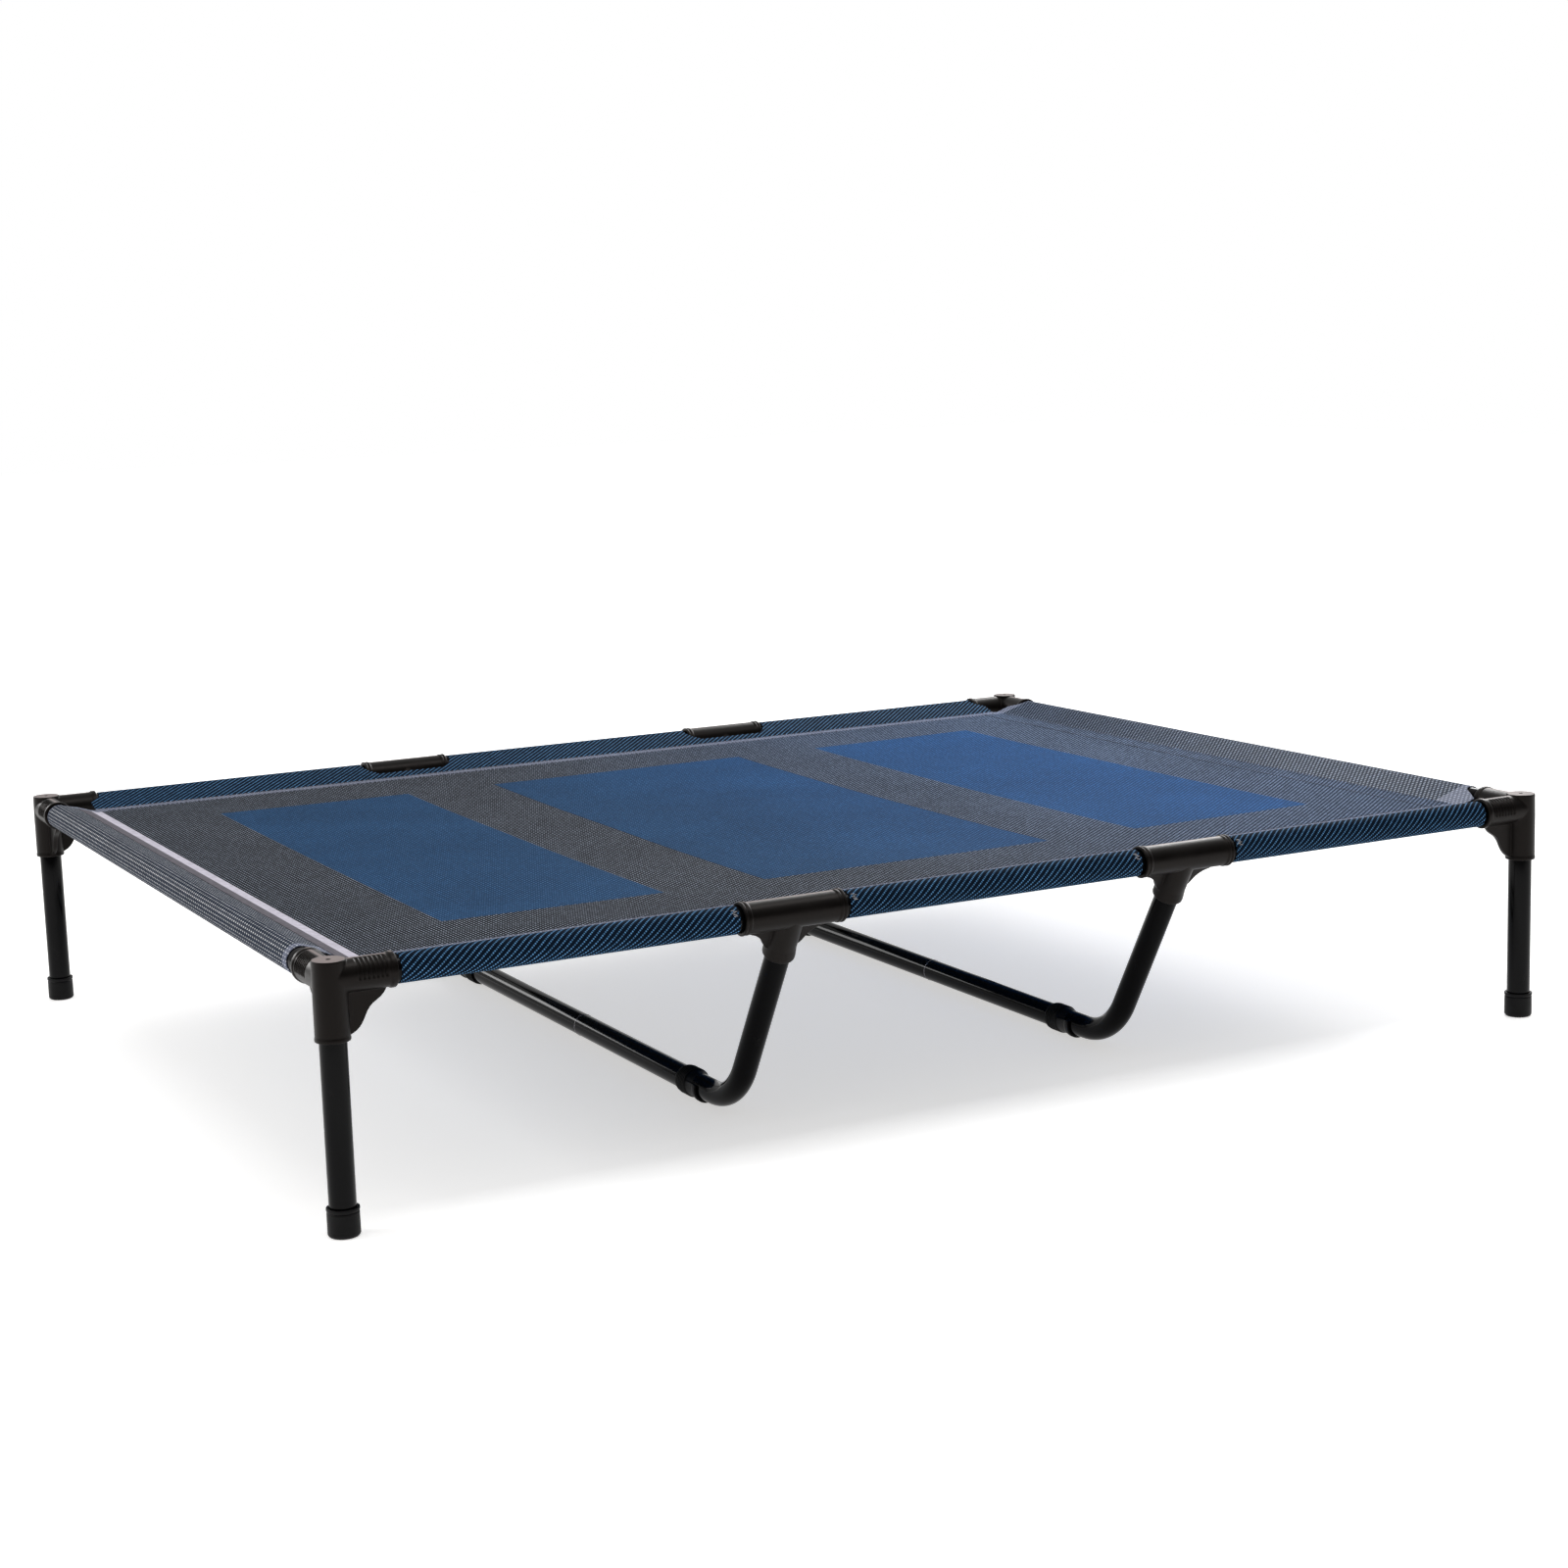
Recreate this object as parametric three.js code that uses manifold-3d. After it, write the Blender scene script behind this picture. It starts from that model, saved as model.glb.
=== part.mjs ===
// Raised pet bed: a push-fit frame of round steel tube and moulded connectors with a tight mesh cover.
// Units are millimetres and +Z is up. X runs along the bed, -Y is its front, and the origin is on the floor
// under the bed's middle.
import * as THREE from "three";
import { mergeVertices } from "three/addons/utils/BufferGeometryUtils.js";
import Module from "manifold-3d";

const wasm = await Module();
wasm.setup();

// Driving dimensions
const LEG_SPAN_X = 1200; // between leg axes along the bed
const LEG_SPAN_Y = 925; // between leg axes across the bed
const HEIGHT = 220; // floor to the tops of the connectors
const TUBE_OD = 22;
const TUBE_WALL = 1.2;
const CONNECTOR_OD = 27;
const FLANGE_OD = 29; // raised ring at each mouth of a connector
const RING_WIDTH = 7;
const RING_SLOPE = 0.6;
const SLIP = 0.3; // gap between pieces that touch
const SUPPORT_X = 200; // the two middle supports stand at plus and minus this
const SUPPORT_TILT = THREE.MathUtils.degToRad(31); // of the supports' legs from the vertical

// Corner connector
const CORNER_ARM = 52; // leg axis to the mouth of a rail socket
const CORNER_SKIRT = 64; // top of the connector to the mouth of the leg socket
const CORNER_SKIRT_OD = 28.5;
const SOCKET_DEPTH = 34; // of the rail and leg sockets
const WEB_THICKNESS = 4.5;
const RECESS_R = 1.6; // small blind hole in the top
const RECESS_DEPTH = 3;
const TOP_CHAMFER = 1;

// Tee connector
const TEE_HALF_LENGTH = 48;
const TEE_STEM = 46; // rail axis to the mouth of the stem socket
const TEE_SOCKET_DEPTH = 35;
const STEM_SOCKET_DEPTH = 30;
const TEE_LIP_OD = 28.5;
const TEE_LIP_WIDTH = 3;

// Middle support
const BEND_RADIUS = 75; // of the tube's centreline
const JOINT_Y = -20; // where the full-size tubes of a support meet
const SWAGE_OD = TUBE_OD - 2 * TUBE_WALL - 2 * SLIP; // the reduced end that slides into the next tube
const SWAGE_LENGTH = 40;
const SWAGE_NECK = 4; // length over which the tube narrows
const STUB_STEP = 1; // the same for the stub of a support
const GRIP_OD = 27; // rubber grip that the support stands on
const GRIP_START = 252; // from the bed's middle
const GRIP_LENGTH = 40;

// Foot
const FOOT_OD = 26.5;
const FOOT_HEIGHT = 23.4;
const FOOT_FLOOR = 2.7;
const FOOT_CHAMFER = 1.2;

// Cover
const CLOTH = 1.2; // thickness of one layer
const DECK_THICKNESS = 1.5;
const HEM_DEPTH = 38; // rail axis to the seam that closes a hem
const HEM_SEAM = 6; // width of the seam, where the two layers are one
const HEM_TEE_GAP = 52; // tee centre to the end of a hem
const HEM_LONG_END = 546; // last point of the hems on the long rails
const HEM_SHORT_FRONT = -393; // the hems on the short rails have slid towards the back
const HEM_SHORT_BACK = 408;
const DECK_CORNER = 20; // what is cut off each corner of the deck

// Facets round a circle
const ROUND = 20;
const ROUND_SUPPORT = 16;
const BEND_STEPS = 6;

// Dimensions that follow
const CORNER_X = LEG_SPAN_X / 2;
const CORNER_Y = LEG_SPAN_Y / 2;
const RAIL_Z = HEIGHT - FLANGE_OD / 2;
const BAR_Z = GRIP_OD / 2;
const SOCKET_R = TUBE_OD / 2 + SLIP;
const CORNER_CORE = CORNER_ARM - SOCKET_DEPTH; // leg axis to the floor of a rail socket
const LEG_TOP = HEIGHT - CORNER_SKIRT + SOCKET_DEPTH - SLIP;
const TEE_CORE = TEE_HALF_LENGTH - TEE_SOCKET_DEPTH;
const STEM_CORE = TEE_STEM - STEM_SOCKET_DEPTH;
const PAST = 1; // what a cutter sticks out past the face it cuts

const steel = new THREE.MeshStandardMaterial({ color: 0x16161a, roughness: 0.32, metalness: 0.2 });
const plastic = new THREE.MeshStandardMaterial({ color: 0x26221f, roughness: 0.55, metalness: 0 });
const rubber = new THREE.MeshStandardMaterial({ color: 0x141313, roughness: 0.8, metalness: 0 });
const deckCloth = new THREE.MeshStandardMaterial({ color: 0x2b5687, roughness: 0.85, metalness: 0 });
const hemCloth = new THREE.MeshStandardMaterial({ color: 0x1f3550, roughness: 0.85, metalness: 0 });

// Solids and booleans

function toManifold(geometry) {
  const bare = geometry.clone();
  bare.deleteAttribute("normal");
  bare.deleteAttribute("uv");
  const merged = mergeVertices(bare, 1e-4);
  const mesh = new wasm.Mesh({
    numProp: 3,
    vertProperties: new Float32Array(merged.attributes.position.array),
    triVerts: new Uint32Array(merged.index.array),
  });
  return new wasm.Manifold(mesh);
}

function toGeometry(solid) {
  const mesh = solid.getMesh();
  const geometry = new THREE.BufferGeometry();
  geometry.setAttribute("position", new THREE.BufferAttribute(mesh.vertProperties, 3));
  geometry.setIndex(new THREE.BufferAttribute(mesh.triVerts, 1));
  geometry.computeVertexNormals();
  return geometry;
}

function combine(added, removed = []) {
  let solid = added.map(toManifold).reduce((whole, next) => whole.add(next));
  for (const cutter of removed) {
    solid = solid.subtract(toManifold(cutter));
  }
  return toGeometry(solid);
}

// A turned solid whose axis runs from the origin along the given direction; its outline is a list of
// [radius, distance].
function turned(outline, direction, facets = ROUND) {
  const profile = outline.map(([radius, distance]) => new THREE.Vector2(radius, distance));
  const geometry = new THREE.LatheGeometry(profile, facets);
  const turn = new THREE.Quaternion().setFromUnitVectors(new THREE.Vector3(0, 1, 0), direction);
  return geometry.applyQuaternion(turn);
}

function rod(radius, start, end, direction, facets = ROUND) {
  return turned([[0, start], [radius, start], [radius, end], [0, end]], direction, facets);
}

const ALONG_X = new THREE.Vector3(1, 0, 0);
const ALONG_Y = new THREE.Vector3(0, 1, 0);
const ALONG_Z = new THREE.Vector3(0, 0, 1);
const DOWN = new THREE.Vector3(0, 0, -1);
const DOWN_STEM = new THREE.Vector3(0, Math.sin(SUPPORT_TILT), -Math.cos(SUPPORT_TILT));

// The outline of a barrel's mouth, which has a raised ring round it.
function ringedMouth(end) {
  const [body, ring] = [CONNECTOR_OD / 2, FLANGE_OD / 2];
  const start = end - RING_WIDTH;
  return [[body, start], [ring, start + RING_SLOPE], [ring, end - RING_SLOPE], [body, end], [0, end]];
}

// Corner connector: a skirt for the leg, an arm along +X and one along +Y, and a curved web under each arm.

function cornerWeb() {
  const outline = new THREE.Shape();
  outline.moveTo(8, -10);
  outline.lineTo(45, -10);
  outline.lineTo(44, -16);
  outline.bezierCurveTo(40, -22, 34, -22, 30, -27.5);
  outline.bezierCurveTo(26, -32, 25, -42, 16, -46);
  outline.lineTo(8, -46);
  const web = new THREE.ExtrudeGeometry(outline, {
    depth: WEB_THICKNESS, bevelEnabled: false, curveSegments: 4,
  });
  web.translate(0, 0, -WEB_THICKNESS / 2);
  return web.rotateX(Math.PI / 2);
}

function cornerConnector() {
  const top = HEIGHT - RAIL_Z;
  const skirt = turned([
    [0, top - CORNER_SKIRT], [CORNER_SKIRT_OD / 2, top - CORNER_SKIRT],
    [CONNECTOR_OD / 2, top - TOP_CHAMFER], [CONNECTOR_OD / 2 - TOP_CHAMFER, top],
    [RECESS_R, top], [RECESS_R, top - RECESS_DEPTH], [0, top - RECESS_DEPTH],
  ], ALONG_Z);
  const arm = [[0, 0], [CONNECTOR_OD / 2, 0], ...ringedMouth(CORNER_ARM)];
  const arms = [ALONG_X, ALONG_Y].map((way) => turned(arm, way));
  const webs = [cornerWeb(), cornerWeb().rotateZ(Math.PI / 2)];
  const sockets = [ALONG_X, ALONG_Y].map((way) => rod(SOCKET_R, CORNER_CORE, CORNER_ARM + PAST, way));
  const skirtMouth = CORNER_SKIRT - top;
  sockets.push(rod(SOCKET_R, skirtMouth - SOCKET_DEPTH, skirtMouth + PAST, DOWN));
  return combine([skirt, ...arms, ...webs], sockets);
}

// Tee connector: a barrel along X for two rails, a stem leaning towards +Y, and a web each side of the stem.

function teeWebs() {
  const outline = new THREE.Shape();
  outline.moveTo(-41, 9);
  outline.lineTo(41, 9);
  outline.lineTo(40, 14.5);
  outline.bezierCurveTo(34, 17, 26, 17, 21, 23);
  outline.bezierCurveTo(17, 28, 18, 33, 12, 36);
  outline.lineTo(-12, 36);
  outline.bezierCurveTo(-18, 33, -17, 28, -21, 23);
  outline.bezierCurveTo(-26, 17, -34, 17, -40, 14.5);
  const webs = new THREE.ExtrudeGeometry(outline, {
    depth: WEB_THICKNESS, bevelEnabled: false, curveSegments: 4,
  });
  webs.translate(0, 0, -WEB_THICKNESS / 2);
  return webs.rotateX(SUPPORT_TILT - Math.PI / 2);
}

function teeConnector() {
  const mouth = ringedMouth(TEE_HALF_LENGTH);
  const farMouth = mouth.map(([radius, distance]) => [radius, -distance]).reverse();
  const barrel = turned([...farMouth, ...mouth], ALONG_X);
  const stem = turned([
    [0, 0], [CONNECTOR_OD / 2, 0], [CONNECTOR_OD / 2, TEE_STEM - TEE_LIP_WIDTH],
    [TEE_LIP_OD / 2, TEE_STEM - TEE_LIP_WIDTH + RING_SLOPE], [TEE_LIP_OD / 2, TEE_STEM], [0, TEE_STEM],
  ], DOWN_STEM);
  const sockets = [ALONG_X, ALONG_X.clone().negate()].map((way) => (
    rod(SOCKET_R, TEE_CORE, TEE_HALF_LENGTH + PAST, way)
  ));
  sockets.push(rod(SOCKET_R, STEM_CORE, TEE_STEM + PAST, DOWN_STEM));
  return combine([barrel, stem, teeWebs()], sockets);
}

// Tubes

function straightTube(start, end, direction) {
  const [outer, inner] = [TUBE_OD / 2, TUBE_OD / 2 - TUBE_WALL];
  const wall = [[inner, start], [outer, start], [outer, end], [inner, end], [inner, start]];
  return turned(wall, direction);
}

// A straight tube with its far end reduced so that it slides into the next tube.
function swagedTube(start, end, direction) {
  const outer = TUBE_OD / 2;
  const inner = outer - TUBE_WALL;
  const slim = SWAGE_OD / 2;
  const tip = end + SWAGE_LENGTH;
  return turned([
    [inner, start], [outer, start], [outer, end], [slim, end + SLIP], [slim, tip],
    [slim - TUBE_WALL, tip], [slim - TUBE_WALL, end], [inner, end - SWAGE_NECK], [inner, start],
  ], direction);
}

// The centreline of half a support: down the slanting leg, round the bend and along the floor.
function supportLine(end) {
  const top = new THREE.Vector3(0, -CORNER_Y, RAIL_Z);
  const turn = Math.PI / 2 - SUPPORT_TILT;
  const drop = (RAIL_Z - BAR_Z) / Math.cos(SUPPORT_TILT);
  const bendEndY = -CORNER_Y + drop * DOWN_STEM.y + BEND_RADIUS * Math.tan(turn / 2);
  const line = [top.addScaledVector(DOWN_STEM, STEM_CORE + SLIP)];
  for (let i = 0; i <= BEND_STEPS; i += 1) {
    const angle = turn * (1 - i / BEND_STEPS);
    const y = bendEndY - BEND_RADIUS * Math.sin(angle);
    const z = BAR_Z + BEND_RADIUS * (1 - Math.cos(angle));
    line.push(new THREE.Vector3(0, y, z));
  }
  line.push(new THREE.Vector3(0, end, BAR_Z));
  return line;
}

// A round wall along a line in the YZ plane: a ring is extruded with one step for each stretch of the line,
// and each step's points are then laid square to the line.
function bentTube(line, outer, inner) {
  const ring = new THREE.Shape();
  ring.absarc(0, 0, outer, 0, 2 * Math.PI, false);
  const bore = new THREE.Path();
  bore.absarc(0, 0, inner, 0, 2 * Math.PI, true);
  ring.holes.push(bore);
  const steps = line.length - 1;
  const geometry = new THREE.ExtrudeGeometry(ring, {
    depth: steps, steps, bevelEnabled: false, curveSegments: ROUND_SUPPORT / 2,
  });
  const ups = line.map((node, i) => {
    const before = line[Math.max(i, 1)].clone().sub(line[Math.max(i, 1) - 1]).normalize();
    const next = Math.min(i + 1, steps);
    const after = line[next].clone().sub(line[next - 1]).normalize();
    const ahead = before.clone().add(after).normalize();
    return ahead.clone().cross(ALONG_X).divideScalar(ahead.dot(after));
  });
  const spots = geometry.attributes.position;
  for (let k = 0; k < spots.count; k += 1) {
    const i = Math.round(spots.getZ(k));
    const spot = line[i].clone().addScaledVector(ALONG_X, spots.getX(k));
    spot.addScaledVector(ups[i], spots.getY(k));
    spots.setXYZ(k, spot.x, spot.y, spot.z);
  }
  return geometry;
}

// Half a support; the front one ends in a reduced stub that slides into the back one.
function supportHalf(end, hasStub) {
  const [outer, inner, slim] = [TUBE_OD / 2, TUBE_OD / 2 - TUBE_WALL, SWAGE_OD / 2];
  const tube = bentTube(supportLine(end), outer, inner);
  if (!hasStub) {
    return tube;
  }
  const root = inner + TUBE_WALL / 2;
  const stub = turned([
    [slim - TUBE_WALL, -SWAGE_NECK], [root, -SWAGE_NECK], [root, -STUB_STEP], [slim, 0], [slim, SWAGE_LENGTH],
    [slim - TUBE_WALL, SWAGE_LENGTH], [slim - TUBE_WALL, -SWAGE_NECK],
  ], ALONG_Y, ROUND_SUPPORT);
  return combine([tube, stub.translate(0, end, BAR_Z)]);
}

// Rubber pieces

function foot() {
  const outer = FOOT_OD / 2;
  return turned([
    [0, 0], [outer - FOOT_CHAMFER, 0], [outer, FOOT_CHAMFER], [outer, FOOT_HEIGHT],
    [SOCKET_R, FOOT_HEIGHT], [SOCKET_R, FOOT_FLOOR], [0, FOOT_FLOOR],
  ], ALONG_Z);
}

function grip() {
  const outer = GRIP_OD / 2;
  return turned([
    [SOCKET_R, 0], [outer, 0], [outer, GRIP_LENGTH], [SOCKET_R, GRIP_LENGTH], [SOCKET_R, 0],
  ], ALONG_Y);
}

// Cover

// A hem: a teardrop of cloth round a rail, drawn with the rail along X and the seam towards +Y.
function hem(length) {
  const wrap = TUBE_OD / 2 + SLIP + CLOTH;
  const layer = (radius, tip, shape) => {
    const lean = Math.acos(radius / tip);
    shape.absarc(0, 0, radius, lean, 2 * Math.PI - lean, false);
    return shape;
  };
  const outline = layer(wrap, HEM_DEPTH, new THREE.Shape());
  outline.lineTo(HEM_DEPTH, 0);
  outline.closePath();
  const inner = layer(wrap - CLOTH, HEM_DEPTH - HEM_SEAM, new THREE.Path());
  inner.lineTo(HEM_DEPTH - HEM_SEAM, 0);
  inner.closePath();
  outline.holes.push(inner);
  const geometry = new THREE.ExtrudeGeometry(outline, {
    depth: length, bevelEnabled: false, curveSegments: 10,
  });
  geometry.translate(0, 0, -length / 2);
  geometry.rotateX(Math.PI / 2);
  return geometry.rotateZ(Math.PI / 2);
}

// The deck: a sheet that reaches from seam to seam, with its corners cut back round the connectors.
function deck() {
  const [x, y] = [CORNER_X - HEM_DEPTH - SLIP, CORNER_Y - HEM_DEPTH - SLIP];
  const corners = [[x, -y], [x, y], [-x, y], [-x, -y]];
  const outline = new THREE.Shape();
  outline.moveTo(-x + DECK_CORNER, -y);
  corners.forEach(([cornerX, cornerY], i) => {
    const intoX = -Math.sign(cornerX) * DECK_CORNER;
    const intoY = -Math.sign(cornerY) * DECK_CORNER;
    const cuts = [[cornerX + intoX, cornerY], [cornerX, cornerY + intoY]];
    const [arrive, leave] = i % 2 === 0 ? cuts : cuts.reverse();
    outline.lineTo(...arrive);
    outline.quadraticCurveTo(cornerX + intoX / 4, cornerY + intoY / 4, ...leave);
  });
  const geometry = new THREE.ExtrudeGeometry(outline, {
    depth: DECK_THICKNESS, bevelEnabled: false, curveSegments: 4,
  });
  return geometry.translate(0, 0, -DECK_THICKNESS / 2);
}

// Assembly

const bed = new THREE.Group();

function place(name, geometry, material, x, y, z, turnZ = 0) {
  const mesh = new THREE.Mesh(geometry, material.clone());
  mesh.name = name;
  mesh.position.set(x, y, z);
  mesh.rotation.z = turnZ;
  bed.add(mesh);
}

const CORNERS = [
  ["front_left", -1, -1, 0],
  ["front_right", 1, -1, Math.PI / 2],
  ["back_right", 1, 1, Math.PI],
  ["back_left", -1, 1, -Math.PI / 2],
];

for (const [where, sideX, sideY, turn] of CORNERS) {
  const [x, y] = [sideX * CORNER_X, sideY * CORNER_Y];
  place(`corner_${where}`, cornerConnector(), plastic, x, y, RAIL_Z, turn);
  place(`leg_${where}`, straightTube(FOOT_FLOOR + SLIP, LEG_TOP, ALONG_Z), steel, x, y, 0);
  place(`foot_${where}`, foot(), rubber, x, y, 0);
}

const SIDES = [["front", -1, 0], ["back", 1, Math.PI]];

for (const [side, sideY, turn] of SIDES) {
  const y = sideY * CORNER_Y;
  const outerStart = SUPPORT_X + TEE_CORE + SLIP;
  const outerEnd = CORNER_X - CORNER_CORE - SLIP;
  const middleEnd = SUPPORT_X - TEE_CORE - SLIP;
  const hemStart = SUPPORT_X + HEM_TEE_GAP;
  const hemMiddle = SUPPORT_X - HEM_TEE_GAP;
  const thirds = [
    ["left", -outerEnd, -outerStart, -HEM_LONG_END, -hemStart],
    ["middle", -middleEnd, middleEnd, -hemMiddle, hemMiddle],
    ["right", outerStart, outerEnd, hemStart, HEM_LONG_END],
  ];
  for (const [third, railFrom, railTo, hemFrom, hemTo] of thirds) {
    const hemX = (hemFrom + hemTo) / 2;
    place(`rail_${side}_${third}`, straightTube(railFrom, railTo, ALONG_X), steel, 0, y, RAIL_Z);
    place(`hem_${side}_${third}`, hem(hemTo - hemFrom), hemCloth, hemX, y, RAIL_Z, turn);
  }
}

const ENDS = [["left", -1, -Math.PI / 2], ["right", 1, Math.PI / 2]];

for (const [end, sideX, turn] of ENDS) {
  const x = sideX * CORNER_X;
  const railEnd = CORNER_Y - CORNER_CORE - SLIP;
  place(`rail_${end}_front`, swagedTube(-railEnd, 0, ALONG_Y), steel, x, 0, RAIL_Z);
  place(`rail_${end}_back`, straightTube(SLIP, railEnd, ALONG_Y), steel, x, 0, RAIL_Z);
  const hemY = (HEM_SHORT_FRONT + HEM_SHORT_BACK) / 2;
  place(`hem_${end}`, hem(HEM_SHORT_BACK - HEM_SHORT_FRONT), hemCloth, x, hemY, RAIL_Z, turn);

  const supportX = sideX * SUPPORT_X;
  place(`tee_front_${end}`, teeConnector(), plastic, supportX, -CORNER_Y, RAIL_Z);
  place(`tee_back_${end}`, teeConnector(), plastic, supportX, CORNER_Y, RAIL_Z, Math.PI);
  place(`support_${end}_front`, supportHalf(JOINT_Y, true), steel, supportX, 0, 0);
  const backHalf = supportHalf(-JOINT_Y - SLIP, false);
  place(`support_${end}_back`, backHalf, steel, supportX, 0, 0, Math.PI);
  const gripY = GRIP_START + GRIP_LENGTH / 2;
  for (const [side, sideY] of SIDES) {
    const y = sideY * gripY - GRIP_LENGTH / 2;
    place(`grip_${end}_${side}`, grip(), rubber, supportX, y, BAR_Z);
  }
}

place("cover_deck", deck(), deckCloth, 0, 0, RAIL_Z);

export default bed;
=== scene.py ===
import math

import bmesh
import bpy
import numpy as np
from mathutils import Matrix, Vector


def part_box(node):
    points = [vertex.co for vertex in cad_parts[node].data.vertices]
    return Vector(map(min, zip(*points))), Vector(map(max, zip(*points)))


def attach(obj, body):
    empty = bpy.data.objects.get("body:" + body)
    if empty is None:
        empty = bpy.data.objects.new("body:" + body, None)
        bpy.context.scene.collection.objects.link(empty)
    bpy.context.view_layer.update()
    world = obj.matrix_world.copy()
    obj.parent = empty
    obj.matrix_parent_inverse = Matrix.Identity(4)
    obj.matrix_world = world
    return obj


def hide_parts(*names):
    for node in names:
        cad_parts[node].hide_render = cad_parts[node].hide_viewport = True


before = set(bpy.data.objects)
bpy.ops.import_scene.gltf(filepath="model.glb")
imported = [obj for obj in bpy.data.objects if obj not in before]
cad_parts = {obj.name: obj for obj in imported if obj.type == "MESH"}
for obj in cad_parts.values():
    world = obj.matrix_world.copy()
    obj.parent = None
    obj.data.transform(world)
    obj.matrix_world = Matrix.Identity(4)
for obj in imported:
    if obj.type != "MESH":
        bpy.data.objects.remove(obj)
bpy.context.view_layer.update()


# ---------------- places, from the frame

def centre(node):
    low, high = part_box(node)
    return (low + high) / 2


def extent(node):
    low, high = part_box(node)
    return high - low


CORNER_X = centre("leg_front_right").x
CORNER_Y = centre("leg_back_right").y
SUPPORT_X = centre("support_right_front").x
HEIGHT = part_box("corner_front_left")[1].z
RAIL_Z = centre("rail_front_middle").z
BAR_Z = centre("grip_left_front").z
TUBE_R = extent("leg_front_left").x / 2
RING_R = extent("rail_front_left").z / 2 + 0.0035  # rings at the mouths of the connectors
BARREL_R = RING_R - 0.001
SIDES = {"front": -1, "back": 1}
SIDE_TURNS = {"front": 0, "back": 180}
ENDS = {"left": -1, "right": 1}
RAILS = sorted(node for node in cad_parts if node.startswith("rail_"))
CORNER_TURNS = {"front_left": 0, "front_right": 90, "back_right": 180, "back_left": 270}

# Sizes inside the pieces. A mouth is the outer end of a socket and a core its floor, from the rail axis.
TUBE_WALL = 0.0012
SLIP = 0.0003  # gap between a tube and its socket
SOCKET_R = TUBE_R + SLIP
SLIM_R = TUBE_R - TUBE_WALL - SLIP  # reduced end that slides into the next tube
SWAGE_LENGTH = 0.040
ARM_MOUTH = 0.052
ARM_CORE = 0.018
SKIRT_LENGTH = 0.064  # of a corner, over the leg
SKIRT_MOUTH_R = 0.01425
LEG_SOCKET = 0.034
TEE_MOUTH = 0.048
TEE_CORE = 0.013
STEM_MOUTH = 0.046
STEM_CORE = 0.016
MOUTH_BEVEL = 0.0006
WEB_THICKNESS = 0.0046
WEB_RIM = 0.0008  # its bevel
SUPPORT_TILT = math.radians(31)
BEND_RADIUS = 0.075  # of a support's centreline
STEM_WAY = np.array([0, math.sin(SUPPORT_TILT), -math.cos(SUPPORT_TILT)])  # down a front tee's stem
ROUND = 64  # facets round a circle

# Cover
CLOTH = 0.0007  # its thickness
HEM_TIP = 0.038  # rail axis to the seam that closes a hem
WRAP_R = TUBE_R + 0.0008
SEAM_X = CORNER_X - HEM_TIP
SEAM_Y = CORNER_Y - HEM_TIP


# ---------------- mesh tools

SHARP_ANGLE = math.radians(38)
EDGE = 0.0004  # rounding of a cut tube's edges
VOXEL = 0.00045  # of a moulded body while its parts are fused
SMOOTHING = 2
KEPT_FACES = 0.22


def link(name, mesh):
    obj = bpy.data.objects.new(name, mesh)
    bpy.context.scene.collection.objects.link(obj)
    return obj


def make_object(name, points, faces):
    """An object from closed skins, shaded smooth up to SHARP_ANGLE."""
    mesh = bpy.data.meshes.new(name)
    mesh.from_pydata([tuple(p) for p in points], [], faces)
    made = bmesh.new()
    made.from_mesh(mesh)
    bmesh.ops.remove_doubles(made, verts=made.verts, dist=1e-6)
    bmesh.ops.dissolve_degenerate(made, edges=made.edges, dist=1e-7)
    bmesh.ops.recalc_face_normals(made, faces=made.faces)
    made.to_mesh(mesh)
    made.free()
    mesh.shade_smooth()
    mesh.set_sharp_from_angle(angle=SHARP_ANGLE)
    return link(name, mesh)


def loft(rings, closed=False):
    """Points and faces of a skin over rings with the same number of points."""
    rings = np.asarray(rings, float)
    count, around = rings.shape[:2]
    faces = []
    for i in range(count if closed else count - 1):
        j = (i + 1) % count
        for k in range(around):
            m = (k + 1) % around
            faces.append((i * around + k, i * around + m, j * around + m, j * around + k))
    return rings.reshape(-1, 3), faces


def soften(outline, radius, steps=4, closed=False):
    """Rounds the corners of an outline, each over less than half of its edges."""
    points = [np.array(p, float) for p in outline]
    if closed:
        points = [points[-1], *points, points[0]]
    rounded = [] if closed else [points[0]]
    for before, corner, after in zip(points, points[1:], points[2:]):
        reach = [min(radius, np.linalg.norm(p - corner) * 0.48) for p in (before, after)]
        start = corner + (before - corner) / np.linalg.norm(before - corner) * reach[0]
        end = corner + (after - corner) / np.linalg.norm(after - corner) * reach[1]
        for t in np.linspace(0, 1, steps + 1):
            rounded.append((1 - t) ** 2 * start + 2 * t * (1 - t) * corner + t * t * end)
    if not closed:
        rounded.append(points[-1])
    return rounded


def turned(outline, direction=(0, 0, 1), base=(0, 0, 0), closed=False, around=ROUND, shape=None):
    """A turned skin: outline is [radius, distance along direction]; shape may change a radius by angle."""
    direction = Vector(direction).normalized()
    side = Vector((1, 0, 0)) if abs(direction.x) < 0.9 else Vector((0, 1, 0))
    side = (side - direction * side.dot(direction)).normalized()
    up = direction.cross(side)
    angles = np.linspace(0, 2 * math.pi, around, endpoint=False)
    spokes = np.outer(np.cos(angles), side) + np.outer(np.sin(angles), up)
    rings = []
    for radius, distance in outline:
        radii = np.full(around, radius)
        if shape is not None:
            radii = shape(radii, distance, spokes)
        rings.append(np.array(base) + np.array(direction) * distance + spokes * radii[:, None])
    return loft(rings, closed)


def turned_ring(section, radius, direction, base=(0, 0, 0), **more):
    """A turned skin over a closed section, with the section's corners rounded."""
    return turned(soften(section, radius, 2, closed=True), direction, base, closed=True, **more)


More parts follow.
